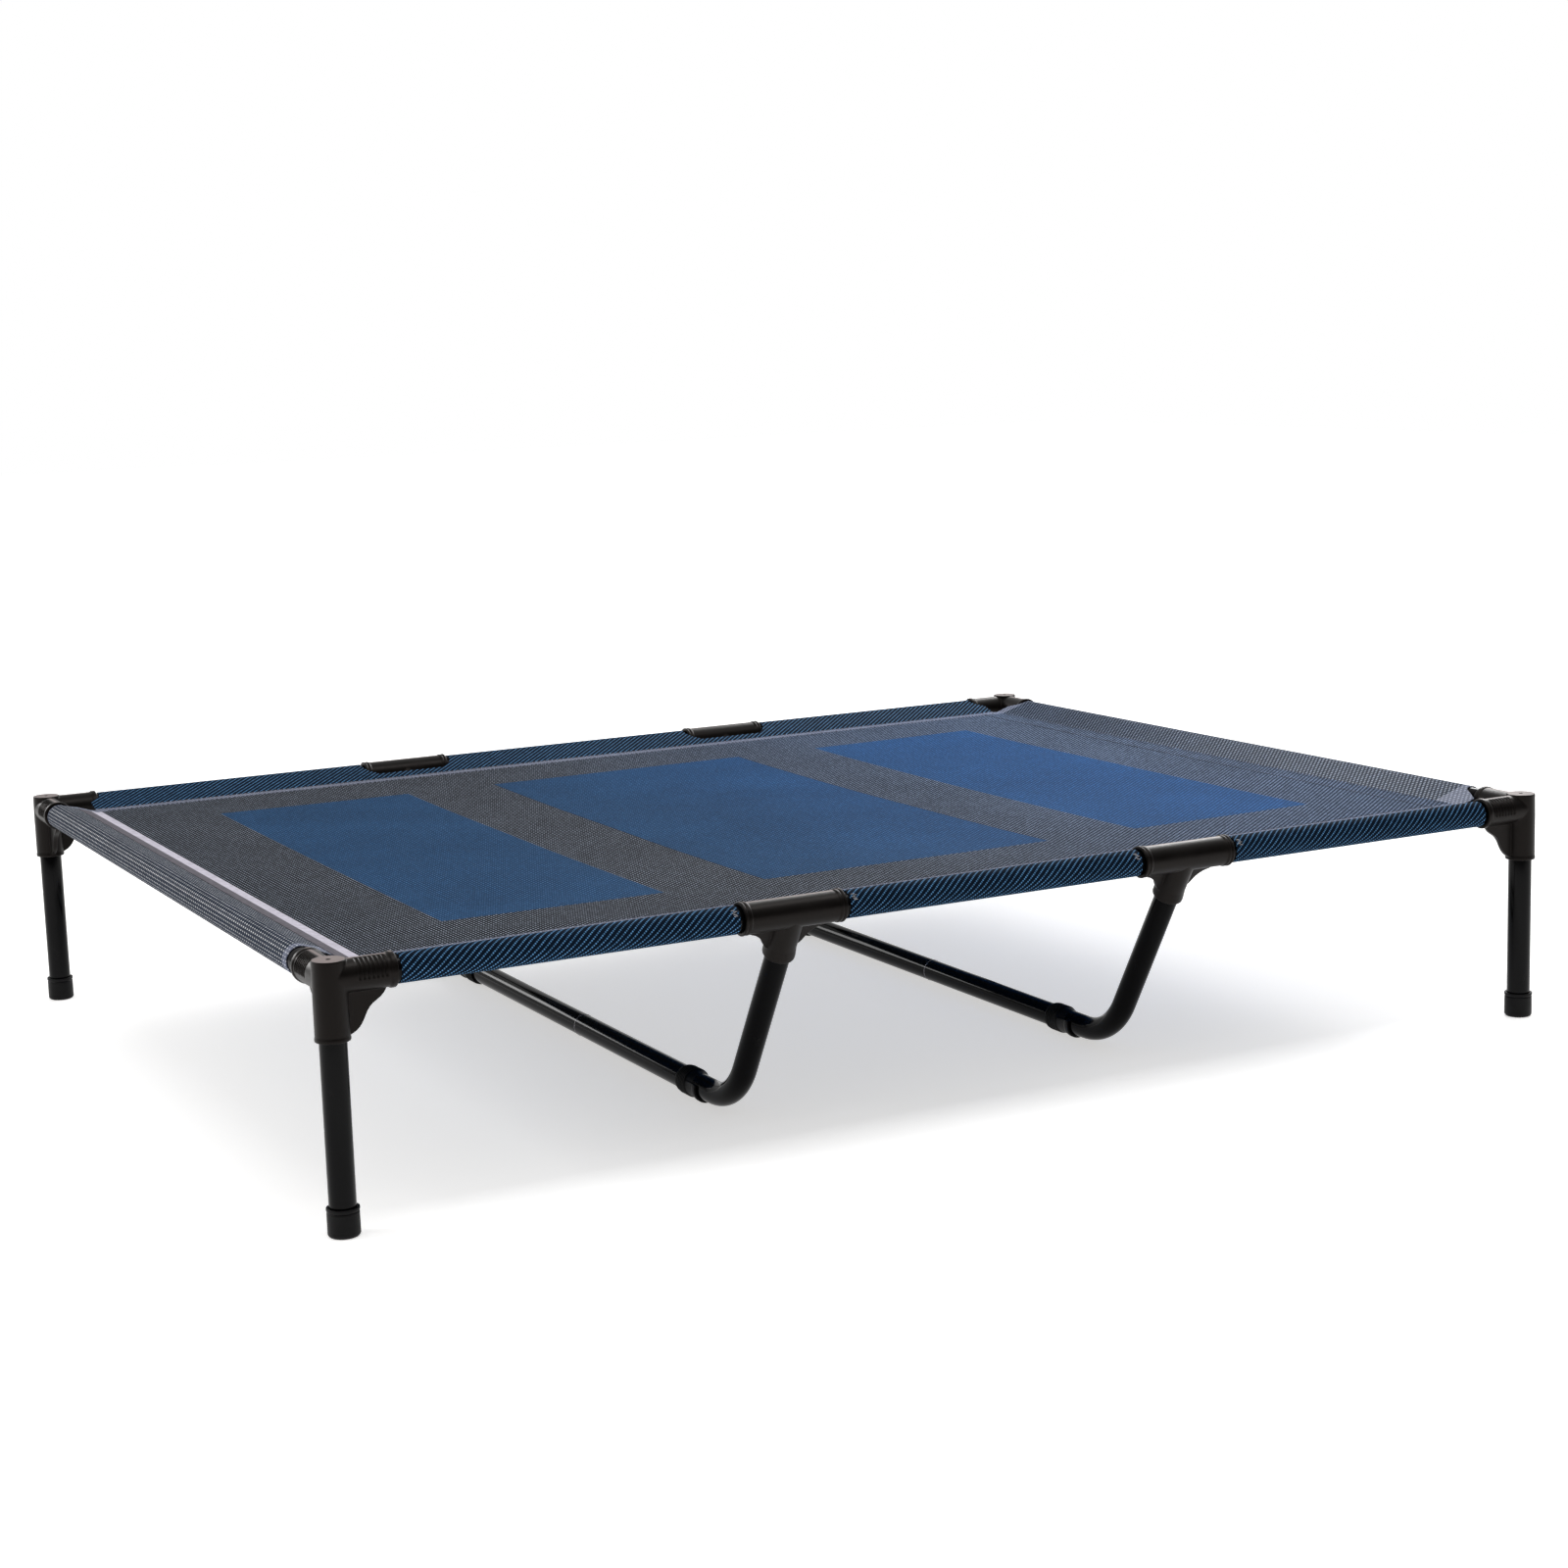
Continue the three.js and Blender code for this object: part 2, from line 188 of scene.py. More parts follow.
def tube(start, end, direction, base):
    """A straight tube with slightly rounded ends."""
    inner = TUBE_R - TUBE_WALL
    section = [(TUBE_R, start), (TUBE_R, end), (inner, end), (inner, start)]
    return turned_ring(section, EDGE, direction, base)


def bent_tube(line, outer, inner, around=48):
    """A tube along a line in the YZ plane, with an outer radius for each point of the line."""
    line = np.array(line, float)
    ahead = np.gradient(line, axis=0)
    ahead /= np.linalg.norm(ahead, axis=1)[:, None]
    side = np.array([1.0, 0, 0])
    ups = np.cross(ahead, side)
    angles = np.linspace(0, 2 * math.pi, around, endpoint=False)
    radii = [*outer, *([inner] * len(line))]
    spots = [*range(len(line)), *reversed(range(len(line)))]
    rings = [
        line[i] + radius * (np.outer(np.cos(angles), side) + np.outer(np.sin(angles), ups[i]))
        for i, radius in zip(spots, radii)
    ]
    return loft(rings, closed=True)


def web(outline, across, along, down):
    """A flat gusset: outline is [along, down]; its rim is bevelled."""
    outline = np.array(outline, float)
    across, along, down = (np.array(v, float) for v in (across, along, down))
    pull = outline.mean(axis=0) - outline
    pull /= np.linalg.norm(pull, axis=1)[:, None]
    bevel = WEB_RIM / WEB_THICKNESS
    rings = []
    for level, inset in ((-0.5, WEB_RIM), (-0.5 + bevel, 0), (0.5 - bevel, 0), (0.5, WEB_RIM)):
        edge = outline + pull * inset
        rings.append(level * WEB_THICKNESS * across + edge[:, :1] * along + edge[:, 1:] * down)
    points, faces = loft(rings)
    count = len(outline)
    faces.append(tuple(reversed(range(count))))
    faces.append(tuple(range(3 * count, 4 * count)))
    return points, faces


def join(*parts):
    """Several (points, faces) as one."""
    points, faces, start = [], [], 0
    for some_points, some_faces in parts:
        points.append(np.asarray(some_points))
        faces += [tuple(start + i for i in face) for face in some_faces]
        start += len(some_points)
    return np.concatenate(points), faces


def apply_modifiers(obj):
    shown = obj.evaluated_get(bpy.context.evaluated_depsgraph_get())
    mesh = bpy.data.meshes.new_from_object(shown)
    obj.modifiers.clear()
    obj.data = mesh


def fused(name, parts):
    """One moulded body from overlapping closed skins, with small fillets where they meet."""
    obj = make_object(name, *join(*parts))
    remesh = obj.modifiers.new("fuse", "REMESH")
    remesh.mode = "VOXEL"
    remesh.voxel_size = VOXEL
    smooth = obj.modifiers.new("fillet", "SMOOTH")
    smooth.factor = 0.5
    smooth.iterations = SMOOTHING
    thin = obj.modifiers.new("thin", "DECIMATE")
    thin.ratio = KEPT_FACES
    apply_modifiers(obj)
    obj.data.shade_smooth()
    return obj


def copy_turned(obj, name, degrees, place):
    """A copy whose mesh is turned about Z and then moved to its place."""
    mesh = obj.data.copy()
    mesh.transform(Matrix.Translation(place) @ Matrix.Rotation(math.radians(degrees), 4, "Z"))
    mesh.name = name
    return link(name, mesh)


def finish_piece(obj, material, slot, *nodes):
    """Gives a piece its material and its place in the part."""
    obj.data.materials.append(material)
    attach(obj, "root")
    if nodes:
        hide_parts(*nodes)
    return obj


# ---------------- materials

class Nodes:
    """Short ways to add nodes to a tree."""

    def __init__(self, tree):
        self.tree = tree

    def add(self, kind, *values, **settings):
        """A node, with values or links for its inputs in their order."""
        made = self.tree.nodes.new("ShaderNode" + kind)
        for key, value in settings.items():
            setattr(made, key, value)
        for value, socket in zip(values, made.inputs):
            self.put(value, socket)
        return made

    def put(self, value, socket):
        if isinstance(value, bpy.types.NodeSocket):
            self.tree.links.new(value, socket)
        else:
            socket.default_value = value

    def math(self, operation, *values):
        return self.add("Math", *values, operation=operation).outputs[0]

    def times(self, a, b):
        return self.math("MULTIPLY", a, b)

    def minus(self, a, b):
        return self.math("SUBTRACT", a, b)

    def between(self, value, low, high):
        """1 where value lies between low and high."""
        above, below = self.math("GREATER_THAN", value, low), self.math("LESS_THAN", value, high)
        return self.times(above, below)

    def ramp(self, value, start, end, low=0.0, high=1.0):
        """A smooth step from low at start to high at end."""
        made = self.add("MapRange", value, start, end, low, high, interpolation_type="SMOOTHSTEP")
        return made.outputs[0]

    def mix(self, share, a, b, kind="MIX"):
        """Colour a towards colour b; a tuple is a colour in display values."""
        made = self.add("Mix", share, data_type="RGBA", blend_type=kind)
        for colour, socket in zip((a, b), made.inputs[6:8]):
            self.put(linear(*colour) if isinstance(colour, tuple) else colour, socket)
        return made.outputs[2]

    def tint(self, colour, strength):
        """colour times a grey strength."""
        grey = self.add("CombineColor", strength, strength, strength)
        return self.mix(1.0, colour, grey.outputs[0], "MULTIPLY")

    def flat_cut(self):
        """The place in the cloth's flat cut: across the warp and along it, in metres."""
        place = self.add("SeparateXYZ", self.add("UVMap", uv_map="flat_cut").outputs[0])
        return place.outputs[0], place.outputs[1]

    def noise(self, size, detail=3.0, roughness=0.55, stretch=(1, 1, 1)):
        """Noise over the object, with features of about size metres."""
        scaled = self.add("Mapping", self.add("TexCoord").outputs["Object"])
        scaled.inputs["Scale"].default_value = stretch
        made = self.add("TexNoise", scaled.outputs[0])
        made.inputs["Scale"].default_value = 1 / size
        made.inputs["Detail"].default_value = detail
        made.inputs["Roughness"].default_value = roughness
        return made.outputs[0]


class Shader(Nodes):
    """A node material with a Principled shader."""

    def __init__(self, name):
        self.material = bpy.data.materials.new(name)
        self.material.use_nodes = True
        super().__init__(self.material.node_tree)
        self.surface = next(n for n in self.tree.nodes if n.type == "BSDF_PRINCIPLED")

    def set(self, **values):
        """Sets sockets of the Principled shader and returns the material."""
        names = {
            "base": "Base Color", "roughness": "Roughness", "metallic": "Metallic", "normal": "Normal",
            "specular": "Specular IOR Level", "specular_tint": "Specular Tint",
            "coat": "Coat Weight", "coat_roughness": "Coat Roughness",
        }
        for key, value in values.items():
            self.put(value, self.surface.inputs[names[key]])
        return self.material

    def bump(self, height, depth, strength):
        """A normal from a height of 0 to 1 that stands for depth metres."""
        made = self.add("Bump")
        made.inputs["Distance"].default_value = depth
        made.inputs["Strength"].default_value = strength
        self.put(height, made.inputs["Height"])
        return made.outputs[0]


def linear(red, green, blue):
    """A colour given as 0 to 255 display values."""
    values = [v / 255 for v in (red, green, blue)]
    return (*[v / 12.92 if v <= 0.04045 else ((v + 0.055) / 1.055) ** 2.4 for v in values], 1)


def powder_coat(name, gloss):
    """Satin black powder coat with a fine orange peel."""
    s = Shader(name)
    cloud = s.noise(0.05, 2)
    peel = s.noise(0.0011, 2)
    scuff = s.ramp(s.noise(0.012, 5, 0.7, (1, 1, 0.35)), 0.62, 0.74)
    base = s.mix(scuff, (4, 4, 5), (12, 12, 13))
    rough = s.math("ADD", s.ramp(cloud, 0.3, 0.7, 0.07, 0.12), s.times(scuff, 0.08))
    return s.set(base=base, roughness=rough, specular=gloss, normal=s.bump(peel, 0.00002, 0.4))


def moulded_plastic():
    """Fine-grained dark plastic, slightly brown, with a painted highlight on the faces that look straight up.
    """
    s = Shader("moulded_plastic")
    cloud = s.noise(0.03, 3)
    grain = s.noise(0.0006, 2)
    base = s.mix(s.ramp(cloud, 0.3, 0.7), (6, 5, 4), (11, 9, 8))
    facing = s.add("SeparateXYZ", s.add("NewGeometry").outputs["Normal"])
    upward = s.ramp(facing.outputs[2], 0.975, 0.998)
    # painted highlight: faces that look straight up are mixed towards a pale warm grey, more where the clouds
    # are light
    dust_and_painted_sheen = s.times(upward, s.ramp(cloud, 0.2, 0.8, 0.7, 1.0))
    base = s.mix(dust_and_painted_sheen, base, (128, 116, 114))
    rough = s.ramp(cloud, 0.3, 0.7, 0.34, 0.42)
    return s.set(base=base, roughness=rough, specular=0.15, specular_tint=(1, 0.9, 0.86, 1),
                 normal=s.bump(grain, 0.00003, 0.5))


def soft_rubber():
    """Matt black rubber with a little dust in its pores."""
    s = Shader("soft_rubber")
    cloud = s.noise(0.02, 4, 0.6)
    grain = s.noise(0.0008, 3)
    dust_and_painted_sheen = s.ramp(s.noise(0.004, 6, 0.7), 0.6, 0.78)
    base = s.mix(dust_and_painted_sheen, (5, 5, 6), (16, 15, 14))
    rough = s.ramp(cloud, 0.3, 0.7, 0.42, 0.55)
    return s.set(base=base, roughness=rough, specular=0.15, normal=s.bump(grain, 0.00006, 0.6))


def bare_steel():
    """The cut end of a tube, where the paint has rubbed off."""
    s = Shader("bare_steel")
    worn = s.noise(0.003, 4, 0.6)
    base = s.mix(s.ramp(worn, 0.35, 0.65), (120, 118, 124), (205, 202, 206))
    return s.set(base=base, roughness=0.32, metallic=0.9, normal=s.bump(worn, 0.00004, 0.5))


# The cloth's weave and zones, in the flat cut
WARP_PITCH = 0.00165
WEFT_PITCH = 0.00134
REPEAT = 4.0  # yarns before the weave starts again
PANEL_Y = 0.320  # the panels' front and back edges
PANELS_X = [(-0.455, -0.248), (-0.150, 0.150), (0.248, 0.455)]
DOUBLE_SEAM = 0.019  # doubled cloth inside the long seams
HEM_END = 0.009  # fold at the front ends of the short hems
FLOAT_LONG, FLOAT_SHORT = 1.2, 0.58  # half lengths of a light float, in yarns: elsewhere and on the long hems
FLOAT_WIDTH = 0.46  # its half width
WEAVE_DEPTH = 0.00025


class Cloth(Shader):
    """Coated-yarn mesh with a repeat of four yarns each way.

    The long hems are a twill with a short light float on every warp yarn. The rest has longer floats on
    every second warp yarn, pale in the border and blue in the three panels.
    """

    def __init__(self):
        super().__init__("mesh_cloth")
        self.u, v = self.flat_cut()
        self.warp = self.math("DIVIDE", self.u, WARP_PITCH)
        self.weft = self.math("DIVIDE", v, WEFT_PITCH)
        self.column = self.math("FLOOR", self.warp)
        self.find_zones()

    def find_zones(self):
        """Zones are decided yarn by yarn, so that their edges follow the weave."""
        u = self.times(self.column, WARP_PITCH)
        v = self.times(self.math("FLOOR", self.weft), WEFT_PITCH)
        far_v = self.math("ABSOLUTE", v)
        self.long_hem = self.math("GREATER_THAN", far_v, SEAM_Y)
        self.short_hem = self.math("GREATER_THAN", self.math("ABSOLUTE", u), SEAM_X)
        panel = 0.0
        for start, end in PANELS_X:
            panel = self.math("MAXIMUM", panel, self.between(u, start, end))
        self.panel = self.times(panel, self.math("LESS_THAN", far_v, PANEL_Y))
        seams = self.between(far_v, SEAM_Y - DOUBLE_SEAM, SEAM_Y)
        folds = self.math("LESS_THAN", v, SHORT_HEM[0] + HEM_END)
        doubled = self.math("MAXIMUM", seams, self.times(folds, self.short_hem))
        self.doubled = self.times(doubled, self.minus(1.0, self.panel))

    def floats(self):
        """1 on the light floats, 0 on the rest."""
        shorter = self.times(self.long_hem, FLOAT_LONG - FLOAT_SHORT)
        reach = self.minus(FLOAT_LONG, shorter)
        middle = self.minus(1.0, self.times(self.long_hem, 0.5))
        step = self.math("FLOORED_MODULO", self.minus(self.column, self.weft), REPEAT)
        along = self.math("DIVIDE", self.minus(step, middle), reach)
        across = self.math("DIVIDE", self.from_yarn_middle(self.warp), FLOAT_WIDTH)
        oval = self.math("ADD", self.times(along, along), self.times(across, across))
        even = self.math("LESS_THAN", self.math("FLOORED_MODULO", self.column, 2.0), 0.5)
        faint = self.times(self.short_hem, 0.1)
        carries = self.math("MAXIMUM", even, self.math("MAXIMUM", self.long_hem, faint))
        return self.times(carries, self.ramp(oval, 0.4, 1.25, 1.0, 0.0))

    def from_yarn_middle(self, yarns):
        """-0.5 to 0.5 across each yarn."""
        return self.minus(self.math("FRACT", yarns), 0.5)

    def roundness(self, yarns):
        """1 along the middle of each yarn, 0 between yarns."""
        edge = self.math("ABSOLUTE", self.times(self.from_yarn_middle(yarns), 2.0))
        return self.minus(1.0, self.math("POWER", edge, 2.0))

    def choose(self, panel, long_hem, short_hem, border):
        """One of four colours by zone."""
        ends = self.mix(self.short_hem, border, short_hem)
        return self.mix(self.panel, self.mix(self.long_hem, ends, long_hem), panel)

    def ground(self, painted_right_light):
        # painted light: the panel and border grounds grow bluer towards the right end
        return self.choose(
            self.mix(painted_right_light, (23, 54, 85), (19, 60, 104)),
            (8, 20, 34),
            (22, 34, 52),
            self.mix(painted_right_light, (25, 27, 32), (23, 36, 56)),
        )

    def light(self, painted_right_light):
        """The floats' colour, which differs a little from float to float."""
        # painted light: the floats shift with position, bluer and brighter towards the right end, except on
        # the short hems, which go from pale grey on the left to a darker blue on the right
        colour = self.choose(
            self.mix(painted_right_light, (56, 92, 132), (56, 114, 184)),
            (84, 130, 172),
            self.mix(painted_right_light, (164, 166, 170), (112, 128, 154)),
            self.mix(painted_right_light, (128, 136, 150), (142, 164, 200)),
        )
        row = self.math("DIVIDE", self.minus(self.column, self.weft), REPEAT)
        each = self.add("CombineXYZ", self.column, self.math("FLOOR", row))
        chance = self.add("TexWhiteNoise", each.outputs[0], noise_dimensions="2D")
        return self.tint(colour, self.ramp(chance.outputs["Value"], 0, 1, 0.78, 1.22))


def mesh_cloth():
    s = Cloth()
    light = s.floats()
    warp_round, weft_round = s.roundness(s.warp), s.roundness(s.weft)
    gap = s.ramp(s.math("ADD", warp_round, weft_round), 0.25, 0.7, 1.0, 0.0)
    # painted light: the cloth's colours change from the left end to the right end
    painted_right_light = s.ramp(s.u, -0.2, 0.5)  # towards the right end
    colour = s.mix(light, s.ground(painted_right_light), s.light(painted_right_light))
    colour = s.mix(s.times(s.doubled, 0.22), colour, (190, 196, 222))
    clouds = s.ramp(s.noise(0.14, 3), 0.25, 0.75, 0.9, 1.1)
    streaks = s.ramp(s.noise(0.0035, 2), 0.25, 0.75, 0.88, 1.12)
    # painted shade: the colour falls to 0.35 in the gaps between the yarns; the clouds vary it at random
    colour = s.tint(colour, s.times(s.ramp(gap, 0, 1, 1.0, 0.35), clouds))
    colour = s.tint(colour, streaks)
    yarns = s.times(s.math("MAXIMUM", warp_round, weft_round), 0.5)
    height = s.math("ADD", s.times(light, 0.6), yarns)
    rough = s.minus(0.8, s.times(light, 0.2))
    gloss = s.times(s.short_hem, s.ramp(light, 0, 1, 0.04, 0.3))
    return s.set(base=colour, roughness=rough, specular=0.03, coat=gloss, coat_roughness=0.36,
                 normal=s.bump(height, WEAVE_DEPTH, 0.6))


BAND_PALE = 0.0065  # from the seam to where the side band turns dull
BAND_RIB = 0.0009


def seam_band():
    """Dense selvedge with a fine rib: pale on the deck, and a duller strip where it turns onto the hem."""
    s = Shader("seam_band")
    u, v = s.flat_cut()
    rib = s.math("PINGPONG", s.math("DIVIDE", v, BAND_RIB), 1.0)
    worn = s.ramp(s.noise(0.006, 4), 0.3, 0.7)
    past = s.minus(s.math("ABSOLUTE", u), SEAM_X)
    dull = s.ramp(past, BAND_PALE - 0.0006, BAND_PALE + 0.0006)
    pale = s.mix(worn, (178, 174, 186), (198, 194, 206))
    strip = s.mix(worn, (78, 75, 83), (98, 94, 102))
    # painted shade: the rib's hollows are drawn up to 16% darker
    base = s.tint(s.mix(dull, pale, strip), s.ramp(rib, 0, 1, 0.84, 1.0))
    return s.set(base=base, roughness=0.75, specular=0.1, normal=s.bump(rib, 0.0001, 0.7))


def thread(name, dark, light):
    """Twisted thread."""
    s = Shader(name)
    twist = s.noise(0.0009, 2, 0.5, (1, 3, 1))
    base = s.mix(s.ramp(twist, 0.35, 0.65), dark, light)
    return s.set(base=base, roughness=0.6, specular=0.3, normal=s.bump(twist, 0.0001, 0.8))


LIFT_NEAR, LIFT_FAR = 0.58, 0.75  # the floor's own light under the bed and far from it
FAR = (1.1, 2.4)  # distances over which it changes


def pale_floor():
    """White sweep, lifted towards the white of the backdrop, more so away from the bed."""
    s = Shader("pale_floor")
    s.surface.inputs["Emission Color"].default_value = (1, 0.985, 0.965, 1)
    away = s.add("VectorMath", s.add("TexCoord").outputs["Object"], operation="LENGTH")
    lift = s.ramp(away.outputs["Value"], *FAR, LIFT_NEAR, LIFT_FAR)
    s.put(lift, s.surface.inputs["Emission Strength"])
    return s.set(base=(0.8, 0.8, 0.8, 1), roughness=0.9, specular=0.0)


# ---------------- frame pieces

def smooth_step(value, low, high):
    t = np.clip((value - low) / (high - low), 0, 1)
    return t * t * (3 - 2 * t)


GROOVES = 7
GROOVE_START, GROOVE_END = 0.0185, 0.0440  # from the leg's axis
RIB_HEIGHT, GROOVE_DEPTH = 0.0005, 0.0015
GRIP_OUTWARD, GRIP_UP = 0.82, 0.57  # the direction that the ribs face
GRIP_FADE = (0.66, 0.80)  # cosines to that direction between which the ribs start


def gripped(outward):
    """A shape function that makes grip ribs on the upper, outer half of an arm."""
    outward = np.array(outward, float)

    def shape(radii, distance, spokes):
        if not GROOVE_START < distance < GROOVE_END or radii[0] < SOCKET_R + 0.001:
            return radii
        phase = (distance - GROOVE_START) / (GROOVE_END - GROOVE_START) * GROOVES
        cut = math.sin(math.pi * (phase % 1)) ** 0.7
        facing = spokes @ (outward * GRIP_OUTWARD + np.array([0, 0, GRIP_UP]))
        return radii + (RIB_HEIGHT - GROOVE_DEPTH * cut) * smooth_step(facing, *GRIP_FADE)

    return shape


WEB_ROOT = 0.0118  # where the webs start, inside the barrels
HOLE_R = 0.0016  # small blind hole in a corner's top
HOLE_DEPTH = 0.003


def bezier(a, b, c, d, steps=8):
    """Points along a cubic curve from a to d."""
    a, b, c, d = (np.array(p, float) for p in (a, b, c, d))
    shares = [(t, 1 - t) for t in np.linspace(0, 1, steps + 1)]
    return [tuple(r ** 3 * a + 3 * t * r ** 2 * b + 3 * t * t * r * c + t ** 3 * d) for t, r in shares]


def socket(mouth, core):
    """The outline of a socket, from its mouth to its floor."""
    chamfer = math.copysign(0.0008, core - mouth)
    return [(SOCKET_R + MOUTH_BEVEL, mouth), (SOCKET_R, mouth + chamfer), (SOCKET_R, core), (0, core)]


def arm(direction, outward):
    """A rail arm of a corner connector, with its ribs, its ringed mouth and its socket."""
    steps = [(BARREL_R, d) for d in np.arange(0.008, ARM_MOUTH - 0.0068, 0.0004)]
    outline = [(0, 0), (BARREL_R, 0), *steps]
    lip = [(BARREL_R, ARM_MOUTH - 0.0055), (RING_R, ARM_MOUTH - 0.0045), (RING_R, ARM_MOUTH - 0.0004)]
    outline += soften([steps[-1], *lip, *socket(ARM_MOUTH, ARM_CORE)], 0.0009, 4)[1:]
    return turned(outline, direction, shape=gripped(outward))


def corner_web(along, across):
    """The curved gusset below an arm."""
    curve_a = bezier((0.0445, -0.0145), (0.040, -0.0220), (0.034, -0.0215), (0.030, -0.0275))
    curve_b = bezier((0.030, -0.0275), (0.026, -0.032), (0.025, -0.042), (0.0155, -0.0462))
    outline = [(WEB_ROOT, -WEB_ROOT), (0.0450, -WEB_ROOT), *curve_a, *curve_b[1:], (WEB_ROOT, -0.0470)]
    return web(outline, across, along, (0, 0, 1))


def corner_connector():
    """A corner with its arms along +X and +Y, its skirt down and its origin where the rails' axes meet."""
    top = HEIGHT - RAIL_Z
    bottom = top - SKIRT_LENGTH
    skirt = soften([
        (0, top), (BARREL_R, top), (BARREL_R + 0.0003, top - 0.02), (SKIRT_MOUTH_R - 0.0004, bottom + 0.004),
        (SKIRT_MOUTH_R, bottom + 0.0025), (SKIRT_MOUTH_R, bottom), *socket(bottom, bottom + LEG_SOCKET),
    ], 0.0007, 4)
    hole = [(0, top - HOLE_DEPTH), (HOLE_R, top - HOLE_DEPTH), (HOLE_R, top - 0.0002), (0.0022, top)]
    parts = [
        turned([*hole, *skirt[1:]]),
        arm((1, 0, 0), (0, -1, 0)),
        arm((0, 1, 0), (-1, 0, 0)),
        corner_web((1, 0, 0), (0, 1, 0)),
        corner_web((0, 1, 0), (1, 0, 0)),
    ]
    return fused("corner_master", parts)


def tee_connector():
    """A front tee: barrel along X with two rings at each mouth, stem leaning towards +Y as it goes down."""
    half = [
        (BARREL_R, 0), (BARREL_R, TEE_MOUTH - 0.0066), (RING_R - 0.0002, TEE_MOUTH - 0.0060),
        (RING_R - 0.0002, TEE_MOUTH - 0.0040), (BARREL_R, TEE_MOUTH - 0.0034), (BARREL_R, TEE_MOUTH - 0.0028),
        (RING_R, TEE_MOUTH - 0.0022), (RING_R, TEE_MOUTH - 0.0003), *socket(TEE_MOUTH, TEE_CORE),
    ]
    near = soften(half, 0.0006, 3)
    far = [(radius, -distance) for radius, distance in reversed(near)]
    stem = soften([
        (0, 0), (BARREL_R - 0.0002, 0), (BARREL_R - 0.0002, STEM_MOUTH - 0.0110),
        (SKIRT_MOUTH_R, STEM_MOUTH - 0.0030), (SKIRT_MOUTH_R, STEM_MOUTH), *socket(STEM_MOUTH, STEM_CORE),
    ], 0.0007, 4)
    parts = [turned([*far, *near[1:]], (1, 0, 0)), turned(stem, STEM_WAY)]
    curve_a = bezier((0.0430, 0.0138), (0.0370, 0.0180), (0.0290, 0.0180), (0.0235, 0.0235))
    curve_b = bezier((0.0235, 0.0235), (0.0190, 0.0285), (0.0190, 0.0345), (0.0132, 0.0370))
    outline = [(WEB_ROOT, WEB_ROOT), (0.0430, WEB_ROOT), *curve_a, *curve_b[1:], (WEB_ROOT, 0.0382)]
    across = np.cross((1, 0, 0), STEM_WAY)
    for way in (1, -1):
        parts.append(web([(way * x, y) for x, y in outline], across, (1, 0, 0), STEM_WAY))
    return fused("tee_master", parts)


RUBBER_R = TUBE_R + 0.0001  # inside of the rubber pieces
FOOT_FLOOR = 0.0027


def foot():
    """Rubber boot, origin on the floor under the leg."""
    outer = extent("foot_front_left").x / 2
    top = extent("foot_front_left").z
    outline = soften([
        (0, 0.0006), (outer - 0.006, 0.0006), (outer - 0.0055, 0), (outer - 0.0016, 0),
        (outer - 0.0002, 0.0018), (outer - 0.0003, top - 0.0040), (outer - 0.0008, top - 0.0036),
        (outer - 0.0008, top - 0.0028), (outer, top - 0.0024), (outer, top),
        (RUBBER_R, top), (RUBBER_R, FOOT_FLOOR), (0, FOOT_FLOOR),
    ], 0.0006, 4)
    return turned(outline)


RIBS = 6
RIB_PITCH = 0.0027
RIB_START = 0.0020
RIB_DEPTH = 0.0012
CRADLE_OPEN = (0.34, 0.42)  # heights round the sleeve between which its wall ends, as parts of its radius


def grip(direction, base):
    """Ribbed rubber sleeve; the distance runs from its inner end towards the bend."""
    length = extent("grip_left_front").y
    outer = extent("grip_left_front").z / 2
    groove = outer - RIB_DEPTH
    outline = [(RUBBER_R, 0), (outer - 0.0004, 0), (outer - 0.0004, 0.0016)]
    for i in range(RIBS):
        start = RIB_START + i * RIB_PITCH
        outline += [(groove, start), (groove, start + 0.0008), (outer, start + 0.0012)]
        outline.append((outer, start + RIB_PITCH - 0.0004))
    plain = RIB_START + RIBS * RIB_PITCH
    outline += [(groove, plain + 0.001), (groove, length - 0.008), (outer, length - 0.0045)]
    outline += [(outer, length), (RUBBER_R, length)]

    def cradle(radii, distance, spokes):
        """Past the ribs the sleeve is open at the top; the skin there is drawn inside the tube's wall."""
        if distance < plain + 0.0045:
            return radii
        away = smooth_step(spokes[:, 2], *CRADLE_OPEN)
        return radii * (1 - away) + (TUBE_R - 0.0003) * away

    return turned_ring(outline, 0.0005, direction, base, around=2 * ROUND, shape=cradle)


def support_line(end_y, steps=26):
    """Centreline of the front half of a support."""
    turn = math.pi / 2 - SUPPORT_TILT
    drop = (RAIL_Z - BAR_Z) / math.cos(SUPPORT_TILT)
    top = np.array([0, -CORNER_Y, RAIL_Z]) + STEM_WAY * (STEM_CORE + SLIP)
    bend_end = -CORNER_Y + drop * STEM_WAY[1] + BEND_RADIUS * math.tan(turn / 2)
    line = [top, top + STEM_WAY * 0.001]
    for i in range(steps + 1):
        angle = turn * (1 - i / steps)
        rise = BEND_RADIUS * (1 - math.cos(angle))
        line.append((0, bend_end - BEND_RADIUS * math.sin(angle), BAR_Z + rise))
    return line + [(0, end_y - back, BAR_Z) for back in (0.002, EDGE, 0)]


